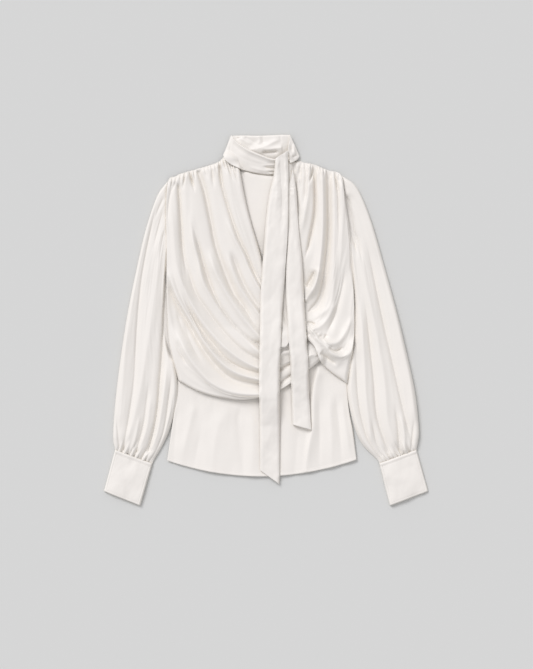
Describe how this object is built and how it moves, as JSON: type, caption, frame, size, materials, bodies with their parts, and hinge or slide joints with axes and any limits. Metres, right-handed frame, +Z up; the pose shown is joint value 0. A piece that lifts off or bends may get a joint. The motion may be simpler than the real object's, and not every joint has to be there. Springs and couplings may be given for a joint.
{
  "type": "blouse",
  "caption": "Long-sleeved wrap blouse laid flat, with gathered draped fronts caught at the side, a tied neck band and deep cuffs.",
  "frame": {"origin": "centre of the bounding box, on the surface that the blouse lies on", "axes": "+Y runs up the blouse towards the collar, +X to the right as seen from above (the wearer's left), +Z up from the surface"},
  "size_m": [0.68, 0.778, 0.0386],
  "materials": {
    "body_cloth": "single ply of off-white crepe with a soft sheen",
    "band_cloth": "double ply of the same crepe, pressed"
  },
  "bodies": {
    "root": {"back": "body_cloth", "lower_front": "body_cloth", "front_right": "body_cloth", "front_left": "body_cloth", "sleeve_right": "body_cloth", "sleeve_left": "body_cloth", "cuff_right": "band_cloth", "cuff_left": "band_cloth", "neck_back": "band_cloth", "neck_front": "band_cloth", "neck_turn": "band_cloth", "tie_short": "band_cloth", "tie_long": "band_cloth"}
  },
  "joints": []
}
